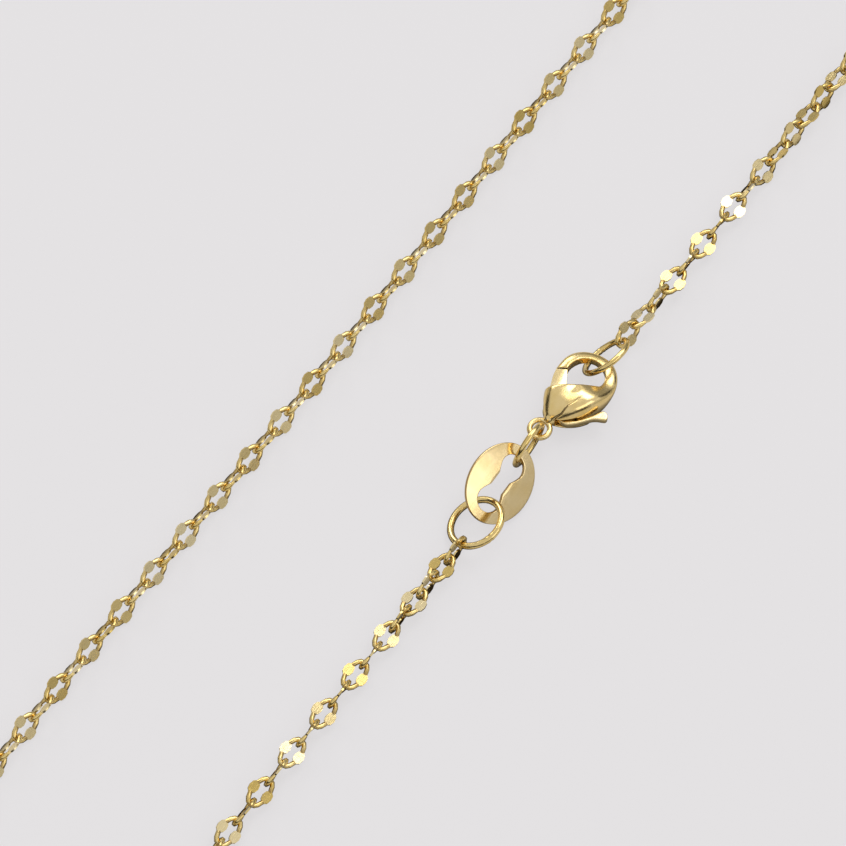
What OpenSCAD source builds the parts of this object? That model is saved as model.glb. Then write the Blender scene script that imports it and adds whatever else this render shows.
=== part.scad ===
// Fine gold neck chain of mirror-pad cable links with a lobster clasp and an oval tag,
// laid on a table as a long flat loop. The clasp row runs along +X at negative Y.

/* [Loop] */
// Length of the whole closed loop, along its middle
chain_len = 421.2; // [400:0.1:450]
// Distance between the middles of the two rows
row_gap = 15.5; // [14:0.1:18]
// How far the plain row bows towards the clasp row
sway = 0.24; // [0:0.01:0.5]

/* [Links] */
// Outside length of one link
link_len = 2.45; // [2.42:0.01:2.5]
// Wire thickness at the round ends of a link
wire_d = 0.27; // [0.24:0.01:0.28]
// Gap between the wires of two hooked links
link_gap = 0.13; // [0.12:0.01:0.15]
// Radius of the middle line of a round end
bend_r = 0.46; // [0.45:0.01:0.48]
// Distance from the middle of a link to the outer edge of a mirror pad
pad_out = 0.88; // [0.8:0.01:0.92]
// Distance from the middle of a link to the inner edge of a mirror pad
pad_in = 0.2; // [0.18:0.01:0.24]
// Length of the straight outer edge of a pad
pad_len = 0.7; // [0.5:0.01:0.76]
// Thickness of a mirror pad
pad_t = 0.16; // [0.12:0.01:0.2]

/* [Clasp] */
// Half of the clasp's largest width
clasp_w = 2.07; // [2:0.01:2.2]
// Half of the clasp's largest thickness
clasp_h = 1.3; // [1.2:0.01:1.4]
// Half of the hook's thickness
hook_h = 0.5; // [0.45:0.01:0.52]
// Thickness of the lever
lever_t = 0.8; // [0.6:0.01:0.84]
// Diameter of the lever's pin
pin_d = 0.5; // [0.4:0.01:0.6]

/* [Rings and tag] */
// Wire thickness of the ring between clasp and tag
connector_wire = 0.42; // [0.36:0.01:0.44]
// Wire thickness of the ring between tag and chain
jump_wire = 0.42; // [0.36:0.01:0.42]
// Wire thickness of the ring that the clasp hooks on to
end_wire = 0.38; // [0.34:0.01:0.38]
// Length of the oval tag
tag_len = 6; // [5.9:0.05:6.1]
// Width of the oval tag
tag_w = 4.8; // [4.6:0.05:4.9]
// Thickness of the oval tag
tag_t = 0.4; // [0.3:0.01:0.42]

/* [Hidden] */
gold = [0.83, 0.66, 0.32];
light_gold = [0.93, 0.8, 0.52];

// Straight half rows and half circles make up the loop; along is measured on its middle line
turn_r = row_gap / 2;
straight = (chain_len - 4 * turn_r * PI / 2) / 4;
half_turn = PI * turn_r;

// First link on the end ring, last link on the jump ring, and the loose links before the last
first_along = 13.26;
last_along = chain_len - 6.74;
loose_links = 5;
loose_pitch = 1.57;
taut_pitch = link_len - 2 * wire_d - link_gap;
taut_len = last_along - first_along - loose_links * loose_pitch;
taut_links = round(taut_len / taut_pitch);
links = taut_links + loose_links + 1;

// Turn of the links about the chain's run: along, odd links, even links
roll_table = [
  [13.3, -50, 50],
  [17, -9, 82],
  [20.5, 14, 98],
  [25.7, 16, 104],
  [32.5, 60, 150],
  [38.5, 60, 150],
  [48, 45, 135],
  [172, 52, 140],
  [182, 52, 133],
  [240, 52, 133],
  [250, 45, 135],
  [376, 45, 135],
  [389, 26, 116],
  [396, 17, 107],
  [406, 17, 107],
  [chain_len - 6.7, 0, 78]
];
odd_roll = [for (row = roll_table) [row[0], row[1]]];
even_roll = [for (row = roll_table) [row[0], row[2]]];

// The chain rises to the end ring, which stands on its rim
rise = 0.66;
rise_len = 9;
lift = 0.012;

bend_x = link_len / 2 - wire_d / 2 - bend_r;
pad_tip = bend_x + 0.06;
neck = 0.04;
pad_in_len = 0.5;

// Clasp: its loop's middle is the origin of its own frame, with the hook towards +X
clasp_at = [3.96, -7.08, clasp_h];
clasp_turn = -7;
bulge = [0.7, 0.27];
loop_r = 0.72;
loop_wire = 0.3;
tail_x = 0.7;
wide_x = 4.3;
top_x = 6.93;
tail_h = 0.85;
window_at = [4.9, 0.3];
window_r = 1.33;
chord = 1;
chord_turn = 45.4;
slot_t = 1;
gate_r = 3.08;
gate_gap = 0.1;
gate_inset = [0.08, 0.1];
pivot = [1.75, -0.05];
pin_len = 1.6;
bore_play = 0.02;
lever_play = 0.06;

connector_at = [2.28, -7.35, 1.79];
connector_turn = [-77.9, 0, 4.8];
connector_r = 1.59;
tag_at = [-1.19, -7.47, 1.72];
tag_turn = [39.7, -3.6, 1];
chamber_x = 1.38;
chamber_r = 0.92;
waist = 1.14;
jump_at = [-4.29, -7.71, 1.1];
jump_turn = [-24.2, -7.3, 0];
jump_r = 1.87;
end_at = [10.93, -7.62, 1.55];
end_r = 1.73;
end_turn = [-50.9, 3.1, -3.8];

function smooth(t) = let (k = min(1, max(0, t))) k * k * (3 - 2 * k);
function power(v, p) = sign(v) * pow(abs(v), p);

// Middle line of the loop, as [x, y] at a distance along it
function plan(s) =
  s < straight ? [s, -turn_r]
  : s < straight + half_turn ? turn_end(1, (s - straight) / turn_r)
  : s < 3 * straight + half_turn ? plain_row(2 * straight + half_turn - s)
  : s < 3 * straight + 2 * half_turn ? turn_end(-1, (s - 3 * straight - half_turn) / turn_r)
  : [s - chain_len, -turn_r];
function turn_end(side, a) = let (w = a * 180 / PI) side * [straight + turn_r * sin(w), -turn_r * cos(w)];
function plain_row(x) = [x, turn_r - sway * (1 + cos(540 * x / straight)) / 2];

function roll(s, odd) = lookup(s, odd ? odd_roll : even_roll);
function reach(a) = max(pad_out * abs(sin(a)) + pad_t / 2 * abs(cos(a)), bend_r * abs(sin(a)) + wire_d / 2);
function height(s) = lift + max(reach(roll(s, true)), reach(roll(s, false)))
  + rise * pow(max(0, 1 - (s - first_along) / rise_len), 2);
function middle(s) = [plan(s)[0], plan(s)[1], height(s)];
function link_along(i) =
  i <= taut_links ? first_along + i * taut_len / taut_links
  : last_along - (links - 1 - i) * loose_pitch;

// Clasp outline: an egg with a narrow tail and a round top, fuller on the gate's side
function egg(a) = let (full = sin(a) > 0, wide = wide_x + (full ? bulge[0] : 0), w = clasp_w + (full ? bulge[1] : 0))
  cos(a) >= 0
  ? [wide + (top_x - wide) * cos(a), w * sin(a)]
  : [wide + (wide - tail_x) * power(cos(a), 1.18), w * power(sin(a), 1.18)];
function egg_edge(x) = let (wide = wide_x + bulge[0])
  (clasp_w + bulge[1]) * pow(1 - pow((wide - x) / (wide - tail_x), 1.7), 0.59);
// Half thickness: thin at the tail, full in the body, thin again towards the top and beyond the chord
function beyond(p) = (p - window_at) * [cos(chord_turn), sin(chord_turn)];
function thick(p) = (tail_h + (clasp_h - tail_h) * smooth((p[0] - tail_x) / 1.6))
  * (1 - (1 - hook_h / clasp_h) * max(smooth((p[0] - 3.2) / 2.5), smooth((beyond(p) + 1.2) / 1.6)));

module link() {
  for (side = [0, 180]) rotate([0, 0, side]) {
    translate([bend_x, 0, 0]) rotate([0, 0, -90])
      rotate_extrude(angle = 180, $fn = 48) translate([bend_r, 0]) circle(d = wire_d, $fn = 24);
    translate([0, 0, -pad_t / 2]) linear_extrude(pad_t) polygon([
      [-pad_tip, bend_r - neck], [-pad_in_len / 2, pad_in], [pad_in_len / 2, pad_in], [pad_tip, bend_r - neck],
      [pad_tip, bend_r + neck], [pad_len / 2, pad_out], [-pad_len / 2, pad_out], [-pad_tip, bend_r + neck]
    ]);
  }
}

module chain(from, to) {
  color(gold) for (i = [from:to]) {
    s = link_along(i);
    run = middle(s + 0.1) - middle(s - 0.1);
    translate(middle(s))
      rotate([0, -atan2(run[2], norm([run[0], run[1]])), atan2(run[1], run[0])])
        rotate([roll(s, i % 2 == 1), 0, 0]) link();
  }
}

module ring(r, wire) {
  rotate_extrude($fn = 96) translate([r, 0]) circle(d = wire, $fn = 32);
}

module at_clasp() {
  translate(clasp_at) rotate([0, 0, clasp_turn]) children();
}

// Domed egg of closed rings, from the lower pole to the upper one
module egg_solid() {
  around = 64;
  levels = 12;
  centre = 4;
  rings = [for (k = [1:levels - 1]) let (tilt = -90 + 180 * k / levels, size = pow(cos(tilt), 0.45))
    for (j = [0:around - 1]) let (p = egg(360 * j / around), q = [centre + (p[0] - centre) * size, p[1] * size])
      [q[0], q[1], thick(q) * power(sin(tilt), 0.7)]];
  low = len(rings);
  points = concat(rings, [for (side = [-1, 1]) [centre, 0, side * thick([centre, 0])]]);
  last = (levels - 2) * around;
  walls = [for (k = [0:levels - 3]) for (j = [0:around - 1])
    let (a = k * around + j, b = k * around + (j + 1) % around) each [[a, a + around, b], [b, a + around, b + around]]];
  bottom = [for (j = [0:around - 1]) [low, j, (j + 1) % around]];
  top = [for (j = [0:around - 1]) [low + 1, last + (j + 1) % around, last + j]];
  polyhedron(points, concat(walls, bottom, top));
}

// Everything beyond the slanted edge of the body's face
module beyond_chord() {
  translate(window_at) rotate(chord_turn) translate([-chord, -4]) square([8, 8]);
}

module window_plan() {
  intersection() {
    beyond_chord();
    union() {
      translate(window_at) circle(window_r, $fn = 72);
      intersection() {
        translate(pivot) circle(gate_r + gate_gap, $fn = 96);
        translate([1.2, 0]) square([4, 3]);
      }
    }
  }
}

// Room for the lever and its swing
module slot_plan() {
  intersection() {
    translate(pivot) circle(gate_r + gate_gap, $fn = 96);
    polygon([
      [0.84, -0.75], [0.84, -4], [2.12, -4], [2.12, -0.62], [2.5, -0.62], [4.2, 0.2], [4.2, 4], [1.12, 4], [1.12, -0.05]
    ]);
  }
}

module clasp_body() {
  color(gold) at_clasp() {
    difference() {
      egg_solid();
      translate([0, 0, -2]) linear_extrude(4) window_plan();
      translate([0, 0, -slot_t / 2]) linear_extrude(slot_t) slot_plan();
      translate([pivot[0], pivot[1], -pin_len / 2 - bore_play])
        cylinder(d = pin_d + bore_play, h = pin_len + 2 * bore_play, $fn = 32);
    }
    ring(loop_r, loop_wire);
  }
}

module lever_plan() {
  tip = [for (a = [30.5:2.25:44]) pivot + gate_r * [cos(a), sin(a)]];
  edge = [for (x = [3.8:-0.25:1.8]) [x, egg_edge(x) - gate_inset[0] - gate_inset[1] * smooth((x - 2.6) / 1.2)]];
  polygon(concat([[1.4, 0.3], [1.5, -0.1], [2, -0.1], [2.15, 0.3], [3.36, 0.68]], tip, edge));
  translate(pivot) circle(0.5, $fn = 48);
  polygon([
    [1.3, 0.1], [1.22, -1.02], [1.62, -1.56], [2.3, -2.02], [3, -2.34], [3.4, -2.78], [3.86, -2.7],
    [3.7, -2.39], [3.1, -2.15], [2.4, -1.84], [1.9, -1.47], [1.85, -0.4]
  ]);
}

module clasp_lever() {
  color(light_gold) at_clasp() difference() {
    translate([0, 0, -lever_t / 2]) linear_extrude(lever_t) lever_plan();
    translate([pivot[0], pivot[1], -1]) cylinder(d = pin_d + lever_play, h = 2, $fn = 32);
  }
}

module clasp_pin() {
  color(gold) at_clasp()
    translate([pivot[0], pivot[1], -pin_len / 2]) cylinder(d = pin_d, h = pin_len, $fn = 32);
}

module connector_ring() {
  color(gold) translate(connector_at) rotate(connector_turn) ring(connector_r, connector_wire);
}

module jump_ring() {
  color(gold) translate(jump_at) rotate(jump_turn) ring(jump_r, jump_wire);
}

module end_ring() {
  color(gold) translate(end_at) rotate(end_turn) ring(end_r, end_wire);
}

// Oval plate with two round chambers joined by a waist
module tag() {
  color(light_gold) translate(tag_at) rotate(tag_turn)
    translate([0, 0, -tag_t / 2]) linear_extrude(tag_t) difference() {
      polygon([for (a = [0:5:355]) [tag_len / 2 * cos(a), tag_w / 2 * sin(a)]]);
      for (side = [-1, 1]) translate([side * chamber_x, 0]) circle(chamber_r, $fn = 48);
      square([2 * chamber_x, waist], center = true);
    }
}

chain(0, floor(links / 2) - 1);  // chain_first_half
chain(floor(links / 2), links - 1);  // chain_second_half
clasp_body();
clasp_lever();
clasp_pin();
connector_ring();
tag();
jump_ring();
end_ring();
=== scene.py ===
import math
import random

import bmesh
import bpy
from mathutils import Euler, Matrix, Vector


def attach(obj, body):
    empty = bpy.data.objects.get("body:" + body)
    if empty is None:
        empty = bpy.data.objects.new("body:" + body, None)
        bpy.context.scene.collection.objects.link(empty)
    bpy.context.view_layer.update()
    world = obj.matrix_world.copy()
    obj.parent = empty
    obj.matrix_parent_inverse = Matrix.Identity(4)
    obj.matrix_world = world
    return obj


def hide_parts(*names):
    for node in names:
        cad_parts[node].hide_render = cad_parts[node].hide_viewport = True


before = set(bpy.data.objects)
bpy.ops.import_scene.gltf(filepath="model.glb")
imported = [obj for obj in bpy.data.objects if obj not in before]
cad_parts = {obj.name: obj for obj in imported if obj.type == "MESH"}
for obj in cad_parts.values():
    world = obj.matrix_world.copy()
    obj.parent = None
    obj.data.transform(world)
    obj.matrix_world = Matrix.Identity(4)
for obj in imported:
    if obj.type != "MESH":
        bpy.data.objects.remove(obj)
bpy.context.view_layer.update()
print("frame loaded")

scene = bpy.context.scene
mm = 0.001
toMetres = Matrix.Scale(mm, 4)  # pieces are modelled in millimetres, then shrunk
tiny = 0.001  # millimetres: what is nearer than this is at the same place

# The camera looks down at 62 degrees, from the side that the photo shows
cameraSettings = {
    "target": (-0.11, -0.33, 0.85),  # millimetres, as is the distance
    "azimuth": -54.26,
    "elevation": 62.0,
    "distance": 698.0,
    "pixelsPerMm": 14.85,
    "imageSize": 846,
    "sensor": 36.0,
    "clip": (0.01, 20),
}


def placeCamera(s):
    azimuth = math.radians(s["azimuth"])
    elevation = math.radians(s["elevation"])
    right = Vector((math.cos(azimuth), math.sin(azimuth), 0))
    ground = Vector((-right.y, right.x, 0))
    forward = ground * math.cos(elevation) - Vector((0, 0, math.sin(elevation)))
    up = right.cross(forward)
    eye = (Vector(s["target"]) - forward * s["distance"]) * mm
    camera = bpy.data.objects.new("camera", bpy.data.cameras.new("camera"))
    scene.collection.objects.link(camera)
    camera.data.sensor_width = s["sensor"]
    camera.data.lens = s["sensor"] * s["distance"] * s["pixelsPerMm"] / s["imageSize"]
    camera.data.clip_start, camera.data.clip_end = s["clip"]
    camera.matrix_world = Matrix((
        (right.x, up.x, -forward.x, eye.x),
        (right.y, up.y, -forward.y, eye.y),
        (right.z, up.z, -forward.z, eye.z),
        (0, 0, 0, 1)))
    scene.camera = camera


placeCamera(cameraSettings)
print("camera placed")


# Helpers for modelling by operators
def deselect():
    bpy.ops.object.select_all(action="DESELECT")


def activate(piece):
    deselect()
    piece.select_set(True)
    bpy.context.view_layer.objects.active = piece


def startEditing():
    bpy.ops.object.mode_set(mode="EDIT")


def stopEditing():
    bpy.ops.object.mode_set(mode="OBJECT")


def selectAll():
    bpy.ops.mesh.select_all(action="SELECT")


def faceOutwards():
    selectAll()
    bpy.ops.mesh.normals_make_consistent(inside=False)


def choosePoints(test):  # selects the vertices that pass the test, in edit mode
    mesh = bpy.context.edit_object.data
    bpy.ops.mesh.select_mode(type="VERT")
    bpy.ops.mesh.select_all(action="DESELECT")
    shape = bmesh.from_edit_mesh(mesh)
    for v in shape.verts:
        if test(v):
            v.select_set(True)
    shape.select_flush_mode()
    bmesh.update_edit_mesh(mesh)


def modify(piece, kind, **settings):  # adds a modifier and applies it
    activate(piece)
    modifier = piece.modifiers.new(kind.lower(), kind)
    for key, value in settings.items():
        setattr(modifier, key, value)
    bpy.ops.object.modifier_apply(modifier=modifier.name)


def roundEdges(piece, width, steps, angle):
    modify(piece, "BEVEL", width=width, segments=steps, limit_method="ANGLE", angle_limit=math.radians(angle))


def castOver(piece, voxel, polish):  # one closed skin, rubbed smooth
    modify(piece, "REMESH", mode="VOXEL", voxel_size=voxel)
    modify(piece, "SMOOTH", factor=0.5, iterations=polish)


def cut(piece, cutter, operation="DIFFERENCE"):
    modify(piece, "BOOLEAN", object=cutter, operation=operation, solver="MANIFOLD")
    bpy.data.objects.remove(cutter, do_unlink=True)


def join(pieces, name):
    activate(pieces[0])
    for piece in pieces:
        piece.select_set(True)
    bpy.ops.object.join()
    pieces[0].name = pieces[0].data.name = name
    return pieces[0]


def mark(piece, name, values):  # one number for each vertex, which the finishes read
    piece.data.attributes.new(name, "FLOAT", "POINT").data.foreach_set("value", values)


def paintWallShade(piece, flat):  # painted shade: the side walls get a darker colour than the flat faces
    mark(piece, "paintedShade", [0 if abs(v.normal.z) > flat else 1 for v in piece.data.vertices])


def smoothShade(piece, angle):
    activate(piece)
    bpy.ops.object.shade_smooth_by_angle(angle=math.radians(angle))


def settle(piece, place):  # puts a piece at its place and bakes that into its mesh
    piece.matrix_world = toMetres @ place @ piece.matrix_world
    activate(piece)
    bpy.ops.object.transform_apply(location=True, rotation=True, scale=True)


def turned(degrees):
    return Euler([math.radians(v) for v in degrees], "XYZ").to_matrix().to_4x4()


def easy(t):  # a soft step from 0 to 1
    t = min(1, max(0, t))
    return t * t * (3 - 2 * t)


def trace(points, thick, name):  # draws an outline point by point and pulls it up to a slab
    deselect()
    bpy.ops.mesh.primitive_plane_add(size=0.1, location=(points[0][0], points[0][1], -thick / 2))
    slab = bpy.context.object
    slab.name = name
    bpy.ops.object.transform_apply(location=True)
    startEditing()
    bpy.ops.mesh.merge(type="CENTER")
    for a, b in zip(points, points[1:]):
        step = (b[0] - a[0], b[1] - a[1], 0)
        bpy.ops.mesh.extrude_vertices_move(TRANSFORM_OT_translate={"value": step})
    selectAll()
    bpy.ops.mesh.edge_face_add()
    bpy.ops.mesh.extrude_region_move(TRANSFORM_OT_translate={"value": (0, 0, thick)})
    faceOutwards()
    stopEditing()
    return slab


# A soldered joint: growth of the wire, by steps from the seam, with a fine line in its middle
seamSwelling = {-2: 1.03, -1: 1.07, 0: 0.96, 1: 1.07, 2: 1.03}


def swellSeam(radius, wire, steps, seam):
    step = 2 * math.pi / steps
    reach = wire / 2 * 1.02  # a little past the wire's own radius
    for offset, grow in seamSwelling.items():
        angle = (round(math.radians(seam) / step) + offset) * step
        middle = Vector((radius * math.cos(angle), radius * math.sin(angle), 0))

        def onSection(v):
            aside = v.co.x * math.sin(angle) - v.co.y * math.cos(angle)
            return (v.co - middle).length < reach and abs(aside) < tiny
        choosePoints(onSection)
        bpy.ops.transform.resize(value=(grow, grow, grow), center_override=middle)


def spunRing(name, radius, wire, sides, steps, seam=None):
    deselect()
    bpy.ops.mesh.primitive_circle_add(
        vertices=sides, radius=wire / 2, location=(radius, 0, 0), rotation=(math.pi / 2, 0, 0))
    ring = bpy.context.object
    ring.name = name
    bpy.ops.object.transform_apply(location=True, rotation=True)
    startEditing()
    bpy.ops.mesh.spin(steps=steps, angle=2 * math.pi, center=(0, 0, 0), axis=(0, 0, 1))
    selectAll()
    bpy.ops.mesh.remove_doubles(threshold=tiny)
    faceOutwards()
    if seam is not None:
        swellSeam(radius, wire, steps, seam)
    stopEditing()
    return ring


# Shader maths: a socket with operators
class Signal:
    def __init__(self, tree, socket):
        self.tree = tree
        self.socket = socket

    def combine(self, operation, *values):
        return addNode(self.tree, "ShaderNodeMath", {"operation": operation}, values)

    def __add__(self, other):
        return self.combine("ADD", self, other)

    def __radd__(self, other):
        return self.combine("ADD", other, self)

    def __sub__(self, other):
        return self.combine("SUBTRACT", self, other)

    def __rsub__(self, other):
        return self.combine("SUBTRACT", other, self)

    def __mul__(self, other):
        return self.combine("MULTIPLY", self, other)

    def __rmul__(self, other):
        return self.combine("MULTIPLY", other, self)

    def clamped(self):
        return addNode(self.tree, "ShaderNodeClamp", {}, {"Value": self})


def addNode(tree, kind, settings, values, output=0):
    node = tree.nodes.new(kind)
    for key, value in settings.items():
        setattr(node, key, value)
    pairs = values.items() if isinstance(values, dict) else enumerate(values)
    for key, value in pairs:
        if isinstance(value, Signal):
            tree.links.new(value.socket, node.inputs[key])
        else:
            node.inputs[key].default_value = value
    return Signal(tree, node.outputs[output])


def noise(tree, place, scale, detail, roughness=0.5):
    sockets = {"Vector": place, "Scale": scale, "Detail": detail, "Roughness": roughness}
    return addNode(tree, "ShaderNodeTexNoise", {}, sockets)


def pointValue(tree, name):  # what mark wrote on the vertices
    return addNode(tree, "ShaderNodeAttribute", {"attribute_name": name}, {}, "Fac")


def opaque(colour):
    return (*colour, 1)


def mixColours(tree, factor, a, b):  # 6, 7 and output 2 are the Mix node's colour sockets
    return addNode(tree, "ShaderNodeMix", {"data_type": "RGBA"}, {0: factor, 6: a, 7: b}, 2)


# One recipe for every gold surface: soft clouds of tone, fine grain, and brush marks drawn out one way.
# These are the same in all finishes, and each finish then has its own numbers.
goldRecipe = {
    "cloudDetail": 3, "cloudContrast": 1.6, "cloudDrop": 0.3,
    "grainDetail": 4, "grainRoughness": 0.7,
    "brushDetail": 2,
    # how far the painted shade goes towards its dark colour
    "paintedShadeShare": 0.9,
    "reliefDepth": 0.01,  # millimetres
}


def goldFinish(name, s, r):
    material = bpy.data.materials.new(name)
    material.use_nodes = True
    tree = material.node_tree
    shader = tree.nodes["Principled BSDF"]
    shader.inputs["Metallic"].default_value = 1
    place = addNode(tree, "ShaderNodeTexCoord", {}, {}, "Object")
    cloud = noise(tree, place, s["cloudScale"], r["cloudDetail"])
    grain = noise(tree, place, s["grainScale"], r["grainDetail"], r["grainRoughness"])
    drawn = addNode(tree, "ShaderNodeMapping", {}, {
        "Vector": place, "Rotation": [math.radians(v) for v in s["brushTurn"]], "Scale": s["brushScale"]})
    brush = noise(tree, drawn, 1, r["brushDetail"])
    tone = (cloud * r["cloudContrast"] - r["cloudDrop"] + (brush - 0.5) * s["brushColour"]).clamped()
    if "perLink" in s:  # every link has its own slight shade
        own = pointValue(tree, "tone")
        tone = (tone * (1 - s["perLink"]) + own * s["perLink"]).clamped()
    colour = mixColours(tree, tone, opaque(s["deep"]), opaque(s["light"]))
    if "paintedShade" in s:  # painted shade: a darker colour laid on the sculpted line, the side walls and where the wires meet the pads
        depth = pointValue(tree, "paintedShade")
        colour = mixColours(tree, depth * r["paintedShadeShare"], colour, opaque(s["paintedShade"]))
    tree.links.new(colour.socket, shader.inputs["Base Color"])
    rough = (s["rough"] + (grain - 0.5) * s["roughSpread"] + (brush - 0.5) * s["brushRough"]).clamped()
    tree.links.new(rough.socket, shader.inputs["Roughness"])
    relief = s["grainRelief"] * grain + s["brushRelief"] * brush + s["waveRelief"] * cloud
    bump = addNode(tree, "ShaderNodeBump", {}, {
        "Strength": 1.0, "Distance": mm * r["reliefDepth"], "Height": relief})
    tree.links.new(bump.socket, shader.inputs["Normal"])
    return material


# A finish's recess colour, where it has one, is painted shade, laid where its mark says
goldSettings = {
    "castGold": {
        "light": (0.93, 0.73, 0.38), "deep": (0.8, 0.58, 0.21), "paintedShade": (0.16, 0.09, 0.03),
        "cloudScale": 900, "grainScale": 16000, "brushScale": (900, 9000, 3000), "brushTurn": (0, 0, -7),
        "brushColour": 0.3, "rough": 0.19, "roughSpread": 0.08, "brushRough": 0.06,
        "grainRelief": 0.25, "brushRelief": 0.2, "waveRelief": 0.7,
    },
    "leverGold": {
        "light": (0.95, 0.78, 0.45), "deep": (0.86, 0.65, 0.29), "paintedShade": (0.25, 0.15, 0.05),
        "cloudScale": 1100, "grainScale": 16000, "brushScale": (900, 9000, 3000), "brushTurn": (0, 0, -25),
        "brushColour": 0.4, "rough": 0.19, "roughSpread": 0.1, "brushRough": 0.08,
        "grainRelief": 0.3, "brushRelief": 0.35, "waveRelief": 1.0,
    },
    "tagGold": {
        "light": (0.94, 0.75, 0.43), "deep": (0.84, 0.61, 0.26), "paintedShade": (0.4, 0.25, 0.08),
        "cloudScale": 700, "grainScale": 22000, "brushScale": (700, 12000, 3000), "brushTurn": (0, 0, 30),
        "brushColour": 0.35, "rough": 0.12, "roughSpread": 0.1, "brushRough": 0.08,
        "grainRelief": 0.3, "brushRelief": 0.18, "waveRelief": 1.2,
    },
    "ringGold": {
        "light": (0.92, 0.72, 0.34), "deep": (0.76, 0.54, 0.18),
        "cloudScale": 1000, "grainScale": 15000, "brushScale": (3000, 3000, 9000), "brushTurn": (0, 0, 0),
        "brushColour": 0.3, "rough": 0.13, "roughSpread": 0.08, "brushRough": 0.06,
        "grainRelief": 0.3, "brushRelief": 0.25, "waveRelief": 1.0,
    },
    "wireGold": {
        "light": (0.95, 0.76, 0.36), "deep": (0.75, 0.52, 0.15), "paintedShade": (0.3, 0.19, 0.07), "perLink": 0.4,
        "cloudScale": 1500, "grainScale": 18000, "brushScale": (4000, 4000, 4000), "brushTurn": (0, 0, 0),
        "brushColour": 0.3, "rough": 0.16, "roughSpread": 0.1, "brushRough": 0.05,
        "grainRelief": 0.4, "brushRelief": 0.2, "waveRelief": 0.8,
    },
    "mirrorPadGold": {
        "light": (0.97, 0.83, 0.52), "deep": (0.66, 0.47, 0.13), "perLink": 0.85,
        "cloudScale": 1200, "grainScale": 20000, "brushScale": (1200, 22000, 6000), "brushTurn": (0, 0, 62),
        "brushColour": 0.5, "rough": 0.14, "roughSpread": 0.08, "brushRough": 0.12,
        "grainRelief": 0.2, "brushRelief": 0.5, "waveRelief": 0.6,
    },
}
gold = {name: goldFinish(name, s, goldRecipe) for name, s in goldSettings.items()}
print("finishes made")


# The chain: one link, copied along the loop with the same route as the solids
linkSettings = {
    "length": 2.45, "wire": 0.27, "gap": 0.13, "bend": 0.46,  # the solid link's, which space the copies
    "padOut": 0.88, "padFlat": 0.16,
    "bareWire": 0.36, "wireSides": 6, "endAt": 0.66, "endRadius": 0.43, "endSweep": 70, "endSteps": 4,
    "legAt": (0.4, 0.54), "legFlat": 0.55, "jointMargin": 0.05,
    "padThick": 0.13,
    "padOutline": [
        (-0.53, 0.5), (-0.3, 0.27), (0, 0.2), (0.3, 0.27), (0.53, 0.5),
        (0.53, 0.6), (0.32, 0.84), (0, 0.905), (-0.32, 0.84), (-0.53, 0.6)],
    "chain": 421.2, "rowGap": 15.5, "sway": 0.24, "swayWaves": 3,
    "first": 13.26, "last": 6.74, "looseLinks": 5, "loosePitch": 1.57, "slopeStep": 0.1,
    "rise": 0.66, "riseLength": 9, "lift": 0.034, "seed": 11, "jitter": 2.5, "smoothAngle": 70,
    "rolls": [  # place along the loop, then the turns of odd and even links there
        (13.3, -50, 50), (17, -9, 82), (20.5, 14, 98), (25.7, 16, 104), (32.5, 60, 150), (38.5, 60, 150),
        (48, 45, 135), (172, 52, 140), (182, 52, 133), (240, 52, 133), (250, 45, 135), (376, 45, 135),
        (389, 26, 116), (396, 17, 107), (406.6, 17, 107), (409.7, -8, 82), (414.5, -8, 80),
    ],
}
turnRadius = linkSettings["rowGap"] / 2
halfTurn = math.pi * turnRadius
straight = (linkSettings["chain"] - 2 * halfTurn) / 4


def loopPoint(along):  # middle of the loop at a distance along it
    if along < straight:
        return Vector((along, -turnRadius))
    if along < straight + halfTurn:
        a = (along - straight) / turnRadius
        return Vector((straight + turnRadius * math.sin(a), -turnRadius * math.cos(a)))
    if along < 3 * straight + halfTurn:
        x = 2 * straight + halfTurn - along
        wave = 1 + math.cos(linkSettings["swayWaves"] * math.pi * x / straight)
        return Vector((x, turnRadius - linkSettings["sway"] * wave / 2))
    if along < 3 * straight + 2 * halfTurn:
        a = (along - 3 * straight - halfTurn) / turnRadius
        return -Vector((straight + turnRadius * math.sin(a), -turnRadius * math.cos(a)))
    return Vector((along - linkSettings["chain"], -turnRadius))


def rollAt(along, column):
    rows = linkSettings["rolls"]
    if along <= rows[0][0]:
        return rows[0][column]
    for a, b in zip(rows, rows[1:]):
        if along <= b[0]:
            return a[column] + (b[column] - a[column]) * (along - a[0]) / (b[0] - a[0])
    return rows[-1][column]


def reachDown(degrees):  # how far a link turned by this much reaches below its middle
    s = linkSettings
    up = abs(math.sin(math.radians(degrees)))
    flat = abs(math.cos(math.radians(degrees)))
    return max(s["padOut"] * up + s["padFlat"] / 2 * flat, s["bend"] * up + s["wire"] / 2)


def chainPoint(along):  # the chain lies on the surface and rises to the end ring
    s = linkSettings
    lowest = max(reachDown(rollAt(along, 1)), reachDown(rollAt(along, 2)))
    rise = s["rise"] * max(0, 1 - (along - s["first"]) / s["riseLength"]) ** 2
    return Vector((*loopPoint(along), s["lift"] + lowest + rise))


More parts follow.
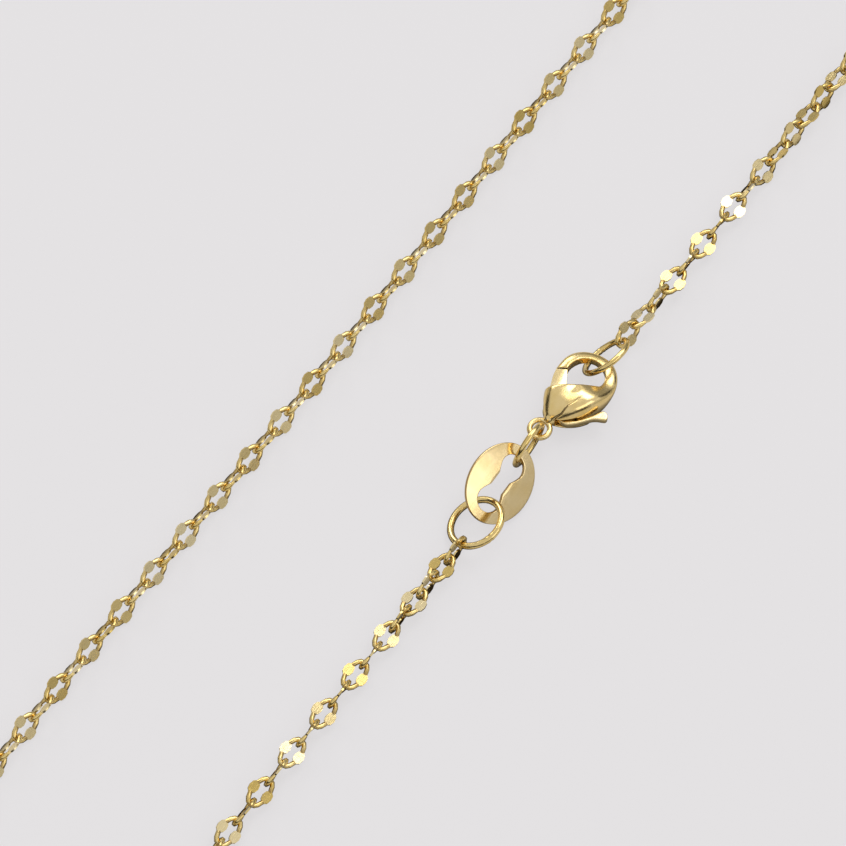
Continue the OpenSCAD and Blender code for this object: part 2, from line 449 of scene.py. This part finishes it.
def linkPlaces(s):
    lastAlong = s["chain"] - s["last"]
    tautPitch = s["length"] - 2 * s["wire"] - s["gap"]
    tautLength = lastAlong - s["first"] - s["looseLinks"] * s["loosePitch"]
    tautLinks = math.floor(tautLength / tautPitch + 0.5)
    places = []
    for i in range(tautLinks + s["looseLinks"] + 1):
        if i <= tautLinks:
            along = s["first"] + i * tautLength / tautLinks
        else:
            along = lastAlong - (tautLinks + s["looseLinks"] - i) * s["loosePitch"]
        run = chainPoint(along + s["slopeStep"]) - chainPoint(along - s["slopeStep"])
        heading = math.atan2(run.y, run.x)
        pitch = -math.atan2(run.z, math.hypot(run.x, run.y))
        roll = math.radians(rollAt(along, 1 if i % 2 else 2))
        place = Matrix.Translation(chainPoint(along))
        for angle, axis in ((heading, "Z"), (pitch, "Y"), (roll, "X")):
            place = place @ Matrix.Rotation(angle, 4, axis)
        places.append(place)
    return places


def makeBends(s):  # the link's two wire ends, each with its two legs
    sweep = math.radians(s["endSweep"])
    along = Vector((math.cos(sweep), math.sin(sweep)))
    endAt = s["endAt"]
    deselect()
    bpy.ops.mesh.primitive_circle_add(
        vertices=s["wireSides"], radius=s["bareWire"] / 2, rotation=(math.pi / 2, 0, -sweep),
        location=(endAt + s["endRadius"] * math.cos(sweep), -s["endRadius"] * math.sin(sweep), 0))
    wire = bpy.context.object
    bpy.ops.object.transform_apply(location=True, rotation=True)
    startEditing()
    # The spin operator turns clockwise for a positive angle
    bpy.ops.mesh.spin(steps=s["endSteps"], angle=-2 * sweep, center=(endAt, 0, 0), axis=(0, 0, 1))
    legX = s["legAt"][0] - endAt - s["endRadius"] * math.cos(sweep)
    legY = s["legAt"][1] - s["endRadius"] * math.sin(sweep)
    for side in (-1, 1):  # a straight leg runs from the bend into each pad
        def onEnd(v):
            aside = (v.co.x - endAt) * along.y - v.co.y * side * along.x
            return v.co.y * side > 0 and abs(aside) < tiny
        choosePoints(onEnd)
        bpy.ops.mesh.extrude_region_move(TRANSFORM_OT_translate={"value": (legX, side * legY, 0)})
        bpy.ops.transform.resize(value=(1, 1, s["legFlat"]), center_override=(0, 0, 0))
    selectAll()
    bpy.ops.mesh.fill_holes(sides=s["wireSides"])
    selectAll()
    bpy.ops.mesh.duplicate()
    bpy.ops.transform.resize(value=(-1, -1, 1), center_override=(0, 0, 0))
    faceOutwards()
    stopEditing()
    return wire


def makeLink(s):
    wire = makeBends(s)
    pads = []
    for side in (-1, 1):
        pads.append(trace([(x, y * side) for x, y in s["padOutline"]], s["padThick"], "pad"))
    for piece, index in ((wire, 0), (pads[0], 1), (pads[1], 1)):
        piece.data.materials.append(gold["wireGold"])
        piece.data.materials.append(gold["mirrorPadGold"])
        for face in piece.data.polygons:
            face.material_index = index
    legEnd = s["legAt"][0] + s["jointMargin"]  # painted shade where the legs meet the pads: the wire there gets a darker colour
    joint = [1 if abs(v.co.x) < legEnd else 0 for v in wire.data.vertices]
    link = join([wire, *pads], "link")
    joint += [0] * (len(link.data.vertices) - len(joint))
    # painted shade at the joints of wire and pads
    mark(link, "paintedShade", joint)
    smoothShade(link, s["smoothAngle"])
    return link


def layChain(link, places, name, node, shades):
    copies = []
    for place in places:
        copy = link.copy()
        copy.data = link.data.copy()
        scene.collection.objects.link(copy)
        shade = shades.random()
        turn = math.radians(shades.uniform(-1, 1) * linkSettings["jitter"])
        mark(copy, "tone", [shade] * len(copy.data.vertices))
        copy.matrix_world = toMetres @ place @ Matrix.Rotation(turn, 4, "X")
        copies.append(copy)
    deselect()
    for copy in copies:
        copy.select_set(True)
    bpy.context.view_layer.objects.active = copies[0]
    bpy.ops.object.transform_apply(location=True, rotation=True, scale=True)
    run = join(copies, name)
    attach(run, "necklace")
    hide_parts(node)


link = makeLink(linkSettings)
places = linkPlaces(linkSettings)
half = len(places) // 2
shades = random.Random(linkSettings["seed"])
layChain(link, places[:half], "chainFirstHalf", "chain_first_half", shades)
layChain(link, places[half:], "chainSecondHalf", "chain_second_half", shades)
bpy.data.objects.remove(link, do_unlink=True)
print("chain laid,", len(places), "links")


# Round rings, each with its soldered joint
ringSettings = {
    "connectorRing": {
        "node": "connector_ring", "radius": 1.58, "wire": 0.42, "seam": 118,
        "at": (2.28, -7.35, 1.79), "turn": (-83.4, 0.4, 2.4),
    },
    "jumpRing": {
        "node": "jump_ring", "radius": 1.86, "wire": 0.48, "seam": 250,
        "at": (-4.29, -7.71, 1.1), "turn": (-24.2, -7.3, 0),
    },
    "endRing": {
        "node": "end_ring", "radius": 1.72, "wire": 0.42, "seam": 62,
        "at": (10.93, -7.62, 1.55), "turn": (-50.9, 3.1, -3.8),
    },
}
ringShape = {"sides": 20, "steps": 96, "smoothAngle": 60}
for name, s in ringSettings.items():
    ring = spunRing(name, s["radius"], s["wire"], ringShape["sides"], ringShape["steps"], s["seam"])
    smoothShade(ring, ringShape["smoothAngle"])
    settle(ring, Matrix.Translation(s["at"]) @ turned(s["turn"]))
    ring.data.materials.append(gold["ringGold"])
    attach(ring, "necklace")
    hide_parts(s["node"])
print("rings made")


# The tag: a softly crowned oval plate with a waisted window
tagSettings = {
    "length": 6.0, "width": 4.8, "thick": 0.4, "crown": 0.11,
    "chamberAt": 1.38, "chamberRadius": 0.92, "waist": 1.14,  # the window's round ends, and between them
    "around": 144, "bands": 9, "soften": 5,
    "edge": 0.07, "edgeSteps": 3, "edgeAngle": 50, "wallFlatness": 0.5, "smoothAngle": 40,
    "at": (-1.19, -7.47, 1.72), "turn": (39.7, -3.6, 1),
}


def windowReach(angle, s):  # how far the window goes from its middle, at an angle
    c = abs(math.cos(angle))
    d = abs(math.sin(angle))
    waist = min(s["chamberAt"] / max(c, tiny), s["waist"] / 2 / max(d, tiny))
    off = s["chamberAt"] * d
    if off >= s["chamberRadius"]:
        return waist
    return max(waist, s["chamberAt"] * c + math.sqrt(s["chamberRadius"] ** 2 - off * off))


def makeTag(s):
    count = s["around"]
    bands = s["bands"]
    deselect()
    bpy.ops.mesh.primitive_circle_add(vertices=count, radius=1)
    tag = bpy.context.object
    tag.name = tag.data.name = "tag"
    startEditing()
    for i in range(bands):  # rings of faces, evenly spaced from the rim inwards
        bpy.ops.mesh.extrude_edges_move()
        shrink = (2 * bands - i - 1) / (2 * bands - i)
        bpy.ops.transform.resize(value=(shrink, shrink, 1), center_override=(0, 0, 0))
    faceOutwards()
    stopEditing()
    blur = range(-s["soften"], s["soften"] + 1)
    for v in tag.data.vertices:  # the outer ring takes the oval's shape, the inner one the window's
        angle = math.atan2(v.co.y, v.co.x)
        inward = 2 * (1 - v.co.xy.length)
        reach = sum(windowReach(angle + math.pi * j / count, s) for j in blur) / len(blur)
        rim = 1 / math.hypot(2 * math.cos(angle) / s["length"], 2 * math.sin(angle) / s["width"])
        out = rim + (reach - rim) * inward
        x = out * math.cos(angle)
        y = out * math.sin(angle)
        v.co = (x, y, s["thick"] / 2 - s["crown"] * ((2 * x / s["length"]) ** 2 + (2 * y / s["width"]) ** 2))
    if tag.data.polygons[0].normal.z < 0:
        tag.data.flip_normals()
    modify(tag, "SOLIDIFY", thickness=s["thick"] - s["crown"], offset=-1)
    roundEdges(tag, s["edge"], s["edgeSteps"], s["edgeAngle"])
    # painted shade on the tag's side walls
    paintWallShade(tag, s["wallFlatness"])
    smoothShade(tag, s["smoothAngle"])
    return tag


tag = makeTag(tagSettings)
settle(tag, Matrix.Translation(tagSettings["at"]) @ turned(tagSettings["turn"]))
tag.data.materials.append(gold["tagGold"])
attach(tag, "necklace")
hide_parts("tag")
print("tag made")


# The clasp: a cast egg with hook, window, lever slot and loop. Its x runs from the tail to the hook's top,
# and its z is straight up. A pair such as thinFrom says where a change starts and how long it takes.
claspSettings = {
    "at": (3.96, -7.08, 1.3), "turn": -7,
    "tailX": 0.7, "wideX": 4.3, "topX": 6.93, "centre": 4.0,
    "halfWidth": 2.07, "bulge": (0.7, 0.27), "tailTaper": 1.18,
    "halfHeight": 1.3, "tailHalf": 0.85, "tailLength": 1.6, "hook": 0.5,
    "thinFrom": (3.2, 2.5), "thinFromChord": (-1.2, 1.6),
    "ballSides": 128, "ballRings": 48, "roundFrom": (-0.2, 1.1), "sideRound": (0.19, 0.34), "topRound": 0.74,
    "window": (4.9, 0.3), "windowRadius": 1.33, "chord": 1.0, "chordTurn": 45.4,
    "cutDepth": 4, "cutSides": 120, "blockSize": 8,
    "pivot": (1.75, -0.05), "gate": 3.08, "gateGap": 0.1,
    "gateSideAt": (3.2, 1.5, 0), "gateSideSize": (4, 3, 5),
    "slot": 0.8,
    "slotPlan": [
        (0.84, -0.75), (0.84, -4), (2.12, -4), (2.12, -0.62), (2.5, -0.62),
        (4.2, 0.2), (4.2, 4), (1.12, 4), (1.12, -0.05)],
    "neckAt": (0.9, -0.02, 0), "neckSize": (0.4, 0.42, 0.5), "neckSides": 32,
    "voxel": 0.036, "polish": 30,
    "lip": 0.36, "lipUnder": (0.16, 0.2), "lipFrom": (0.7, 0.5), "lipTo": (3.5, 0.9),
    "crease": [
        (0.85, -0.4), (1.1, -0.47), (1.44, -0.62), (1.77, -0.62),
        (2.07, -0.62), (2.58, -0.76), (3.09, -0.84), (3.6, -0.95)],
    "creaseSteps": 12, "creaseWidth": 0.05, "creaseDepth": 0.07, "creaseAbove": 0.4, "creaseReach": 3,
    "creaseEnds": (0.1, 0.45),
    "loopRadius": 0.68, "loopWire": 0.38, "loopAt": (-0.04, -0.03), "loopSides": 20, "loopSteps": 72,
    "smoothAngle": 180,
}


def signedPower(v, p):
    return math.copysign(abs(v) ** p, v)


def change(value, pair):
    return easy((value - pair[0]) / pair[1])


def eggOutline(a, s):
    c = math.cos(a)
    d = math.sin(a)
    wide = s["wideX"] + (s["bulge"][0] if d > 0 else 0)
    half = s["halfWidth"] + (s["bulge"][1] if d > 0 else 0)
    if c >= 0:
        return wide + (s["topX"] - wide) * c, half * d
    taper = s["tailTaper"]
    return wide + (wide - s["tailX"]) * signedPower(c, taper), half * signedPower(d, taper)


def halfThick(x, y, s):
    turn = math.radians(s["chordTurn"])
    beyond = (x - s["window"][0]) * math.cos(turn) + (y - s["window"][1]) * math.sin(turn)
    thin = max(change(x, s["thinFrom"]), change(beyond, s["thinFromChord"]))
    full = s["tailHalf"] + (s["halfHeight"] - s["tailHalf"]) * easy((x - s["tailX"]) / s["tailLength"])
    return full * (1 - (1 - s["hook"] / s["halfHeight"]) * thin)


def disc(at, radius, depth):
    deselect()
    bpy.ops.mesh.primitive_cylinder_add(
        vertices=claspSettings["cutSides"], radius=radius, depth=depth, location=(*at, 0))
    return bpy.context.object


def beyondChord(s):  # a block on the far side of the slanted edge
    turn = math.radians(s["chordTurn"])
    away = s["blockSize"] / 2 - s["chord"]
    place = (s["window"][0] + away * math.cos(turn), s["window"][1] + away * math.sin(turn), 0)
    deselect()
    bpy.ops.mesh.primitive_cube_add(size=s["blockSize"], location=place, rotation=(0, 0, turn))
    return bpy.context.object


def makeEgg(s):
    deselect()
    bpy.ops.mesh.primitive_uv_sphere_add(segments=s["ballSides"], ring_count=s["ballRings"], radius=1)
    body = bpy.context.object
    body.name = body.data.name = "claspBody"
    boxy, softer = s["sideRound"]
    for v in body.data.vertices:  # boxy at the tail, round at the hook
        size = max(0.0, 1 - v.co.z ** 2) ** (boxy + (softer - boxy) * change(v.co.x, s["roundFrom"]))
        x, y = eggOutline(math.atan2(v.co.y, v.co.x), s)
        x = s["centre"] + (x - s["centre"]) * size
        y = y * size
        v.co = (x, y, halfThick(x, y, s) * signedPower(v.co.z, s["topRound"]))
    return body


def openEgg(body, s):  # the window inside the hook, the gate's swing and the lever's slot
    swing = s["gate"] + s["gateGap"]
    window = disc(s["window"], s["windowRadius"], s["cutDepth"])
    cut(window, beyondChord(s), "INTERSECT")
    cut(body, window)
    sweep = disc(s["pivot"], swing, s["cutDepth"])
    cut(sweep, beyondChord(s), "INTERSECT")
    deselect()
    bpy.ops.mesh.primitive_cube_add(size=1, scale=s["gateSideSize"], location=s["gateSideAt"])
    cut(sweep, bpy.context.object, "INTERSECT")
    cut(body, sweep)
    slot = trace(s["slotPlan"], s["slot"], "slot")
    cut(slot, disc(s["pivot"], swing, s["cutDepth"]), "INTERSECT")
    cut(body, slot)


def raiseLip(body, s):  # a lip under the lever's tail
    for v in body.data.vertices:
        if v.co.y < 0:
            under = easy((-v.co.z - s["slot"] / 2 + s["lipUnder"][0]) / s["lipUnder"][1])
            before = easy((s["lipTo"][0] - v.co.x) / s["lipTo"][1])
            low = under * change(v.co.x, s["lipFrom"]) * before
            v.co.y += s["lip"] * low * v.co.y / s["halfWidth"]


def carveCrease(body, s):  # the sculpted line across the face, carved in, with painted shade along it
    points = [Vector(p) for p in s["crease"]]
    fine = []
    for a, b in zip(points, points[1:]):
        fine += [a + (b - a) * t / s["creaseSteps"] for t in range(s["creaseSteps"])]
    fine.append(points[-1])
    depths = []
    for v in body.data.vertices:
        place = Vector((v.co.x, v.co.y))
        near, index = min(((place - q).length, i) for i, q in enumerate(fine))
        if v.co.z < s["creaseAbove"] or near > s["creaseReach"] * s["creaseWidth"]:
            depths.append(0)
            continue
        along = index / (len(fine) - 1)
        fade = easy(along / s["creaseEnds"][0]) * easy((1 - along) / s["creaseEnds"][1])
        depth = fade * math.exp(-(near / s["creaseWidth"]) ** 2)
        v.co.z -= depth * s["creaseDepth"]
        depths.append(depth)
    # painted shade along the crease, as strong as the crease is deep
    mark(body, "paintedShade", depths)


def makeClasp(s):
    body = makeEgg(s)
    openEgg(body, s)
    deselect()
    bpy.ops.mesh.primitive_uv_sphere_add(
        segments=s["neckSides"], ring_count=s["neckSides"] // 2, radius=1,
        location=s["neckAt"], scale=s["neckSize"])
    cut(body, bpy.context.object, "UNION")
    castOver(body, s["voxel"], s["polish"])
    raiseLip(body, s)
    carveCrease(body, s)
    smoothShade(body, s["smoothAngle"])
    loop = spunRing("loop", s["loopRadius"], s["loopWire"], s["loopSides"], s["loopSteps"])
    loop.location = (*s["loopAt"], 0)
    smoothShade(loop, s["smoothAngle"])
    return join([body, loop], "claspBody")


claspPlace = Matrix.Translation(claspSettings["at"]) @ turned((0, 0, claspSettings["turn"]))
clasp = makeClasp(claspSettings)
settle(clasp, claspPlace)
clasp.data.materials.clear()
clasp.data.materials.append(gold["castGold"])
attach(clasp, "necklace")
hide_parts("clasp_body")
print("clasp body made,", len(clasp.data.polygons), "faces")


# The sprung lever: gate, hub and thumb tail
leverSettings = {
    "thick": 0.8, "tip": 3.08, "tipFrom": 30.5, "tipTo": 44, "tipSteps": 5,
    "hub": 0.5, "hubInset": 0.002, "pinHole": 0.28, "pinDepth": 2,
    "arm": [(1.4, 0.3), (1.5, -0.1), (2.0, -0.1), (2.15, 0.3), (3.36, 0.68)],
    "backX": [3.8, 3.55, 3.3, 3.05, 2.8, 2.55, 2.3, 2.05, 1.8],
    "backInset": (0.3, 0.12), "backFrom": (2.6, 1.2), "backPowers": (1.7, 0.59),
    "edge": 0.05, "edgeSteps": 3, "edgeAngle": 30, "wallFlatness": 0.4, "smoothAngle": 40,
    "tail": [
        (1.4, 0.1), (1.24, -0.95), (1.6, -1.46), (2.3, -1.92), (2.8, -2.22), (3.05, -2.48),
        (3.35, -2.9), (3.62, -2.86), (3.8, -2.62), (3.78, -2.36), (3.6, -2.24), (3.1, -2.08),
        (2.4, -1.74), (1.95, -1.42), (1.8, -0.9), (1.9, 0)],
    "tailSteps": 4, "tailThick": 0.5, "voxel": 0.035, "polish": 14, "tailSmoothAngle": 180,
}


def gateBack(x, s, egg):  # the gate's outer edge follows the egg a little inside it
    wide = egg["wideX"] + egg["bulge"][0]
    sharp, blunt = s["backPowers"]
    edge = (egg["halfWidth"] + egg["bulge"][1]) * (1 - ((wide - x) / (wide - egg["tailX"])) ** sharp) ** blunt
    atHub, atTip = s["backInset"]
    return edge - atHub + (atHub - atTip) * change(x, s["backFrom"])


def softened(points, steps):  # a smooth closed curve through the points
    curve = []
    for i in range(len(points)):
        a, b, c, d = (Vector(points[(i + j) % len(points)]) for j in (-1, 0, 1, 2))
        for k in range(steps):
            u = k / steps
            square = (2 * a - 5 * b + 4 * c - d) * u * u
            cube = (3 * b - a - 3 * c + d) * u ** 3
            curve.append(tuple(((2 * b) + (c - a) * u + square + cube) / 2))
    return curve


def makeGate(s, egg):
    pivotX, pivotY = egg["pivot"]
    tip = []
    for i in range(s["tipSteps"] + 1):
        a = math.radians(s["tipFrom"] + (s["tipTo"] - s["tipFrom"]) * i / s["tipSteps"])
        tip.append((pivotX + s["tip"] * math.cos(a), pivotY + s["tip"] * math.sin(a)))
    back = [(x, gateBack(x, s, egg)) for x in s["backX"]]
    gate = trace(s["arm"] + tip + back, s["thick"], "claspLever")
    cut(gate, disc(egg["pivot"], s["hub"], s["thick"] - s["hubInset"]), "UNION")
    cut(gate, disc(egg["pivot"], s["pinHole"], s["pinDepth"]))
    roundEdges(gate, s["edge"], s["edgeSteps"], s["edgeAngle"])
    # painted shade on the gate's side walls
    paintWallShade(gate, s["wallFlatness"])
    smoothShade(gate, s["smoothAngle"])
    return gate


def makeLever(s, egg):
    gate = makeGate(s, egg)
    tail = trace(softened(s["tail"], s["tailSteps"]), s["tailThick"], "tail")
    cut(tail, disc(egg["pivot"], s["pinHole"], s["pinDepth"]))
    castOver(tail, s["voxel"], s["polish"])
    smoothShade(tail, s["tailSmoothAngle"])
    return join([gate, tail], "claspLever")


lever = makeLever(leverSettings, claspSettings)
settle(lever, claspPlace)
lever.data.materials.clear()
lever.data.materials.append(gold["leverGold"])
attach(lever, "clasp_lever")
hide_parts("clasp_lever")
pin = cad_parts["clasp_pin"]
pin.data.materials.clear()
pin.data.materials.append(gold["castGold"])
print("lever made")


# Plain pale floor, whose mirrored colour is painted darker close to the pieces, a wide soft light over it and
# boxes and panels round it
stageSettings = {
    "floorSize": 6, "floorRough": 0.9, "floorShine": 0.1,
    "floorSeen": (0.15, 0.147, 0.149), "floorGlow": (0.632, 0.618, 0.626),
    "nearPaintedShade": (0.03, 0.022, 0.012), "floorFar": (0.7, 0.68, 0.64),  # as the metal mirrors it; the near colour is painted shade close to the pieces
    "nearEnds": 0.8, "farStarts": 2.7, "backReach": 1.2, "backSteepness": 100, "backMiddle": 0.5,
    "surround": 0.045, "surroundColour": (1, 0.99, 0.97),
    "lights": {  # width, height, radiance, place
        "tent": (4.4, 4.4, 0.66, (0, 0, 1.2)),
        "topBox": (0.68, 0.64, 2.7, (0.68, 0.0, 0.95)),
        "frontBox": (1.1, 0.6, 0.99, (0.0, -1.2, 0.98)),
        "keyBox": (0.5, 0.36, 3.0, (0.45, 0.75, 0.52)),
        "midPanel": (3.0, 0.6, 0.48, (0.9, -2.15, 0.92)),
        "lowPanel": (3.0, 0.56, 0.43, (0.9, -2.1, 0.34)),
        "eastPanel": (2.4, 0.9, 0.26, (2.1, 0.4, 0.6)),
        "northPanel": (3.0, 0.75, 0.42, (0.7, 2.1, 0.42)),
    },
}


def floorPaper(s):
    material = bpy.data.materials.new("paperFloor")
    material.use_nodes = True
    tree = material.node_tree
    shader = tree.nodes["Principled BSDF"]
    seen = addNode(tree, "ShaderNodeLightPath", {}, {}, "Is Camera Ray")
    away = addNode(tree, "ShaderNodeLightPath", {}, {}, "Ray Length")  # painted shade: close to the pieces the floor, as metal mirrors it, is dark
    place = addNode(tree, "ShaderNodeTexCoord", {}, {}, "Object")
    depth = addNode(tree, "ShaderNodeSeparateXYZ", {}, {"Vector": place}, "Y")
    back = (depth * s["backSteepness"] + s["backMiddle"]).clamped()
    reach = away * (1 + back * s["backReach"])  # painted light: behind, by the far strand, the mirrored floor turns bright closer to the pieces
    spread = addNode(tree, "ShaderNodeMapRange", {}, {
        "Value": reach, "From Min": s["nearEnds"] * mm, "From Max": s["farStarts"] * mm})
    mirrored = mixColours(tree, spread, opaque(s["nearPaintedShade"]), opaque(s["floorFar"]))
    colour = mixColours(tree, seen, mirrored, opaque(s["floorSeen"]))
    tree.links.new(colour.socket, shader.inputs["Base Color"])
    glow = mixColours(tree, seen, opaque((0, 0, 0)), opaque(s["floorGlow"]))
    tree.links.new(glow.socket, shader.inputs["Emission Color"])
    shader.inputs["Emission Strength"].default_value = 1
    shader.inputs["Roughness"].default_value = s["floorRough"]
    shader.inputs["Specular IOR Level"].default_value = s["floorShine"]
    return material


def makeFloor(s):
    deselect()
    bpy.ops.mesh.primitive_plane_add(size=s["floorSize"], location=(0, 0, 0))
    floor = bpy.context.object
    floor.name = floor.data.name = "floor"
    floor.data.materials.append(floorPaper(s))


def areaLight(name, width, height, radiance, place):
    light = bpy.data.objects.new(name, bpy.data.lights.new(name, "AREA"))
    light.data.shape = "RECTANGLE"
    light.data.size = width
    light.data.size_y = height
    light.data.energy = radiance * math.pi * width * height
    scene.collection.objects.link(light)
    light.location = place
    light.rotation_euler = Vector(place).to_track_quat("Z", "Y").to_euler()


def makeSurround(s):
    world = bpy.data.worlds.new("world")
    scene.world = world
    world.use_nodes = True
    background = world.node_tree.nodes["Background"]
    background.inputs["Color"].default_value = opaque(s["surroundColour"])
    background.inputs["Strength"].default_value = s["surround"]


makeFloor(stageSettings)
for name, settings in stageSettings["lights"].items():
    areaLight(name, *settings)
makeSurround(stageSettings)
scene.view_settings.view_transform = "Standard"
print("stage set")
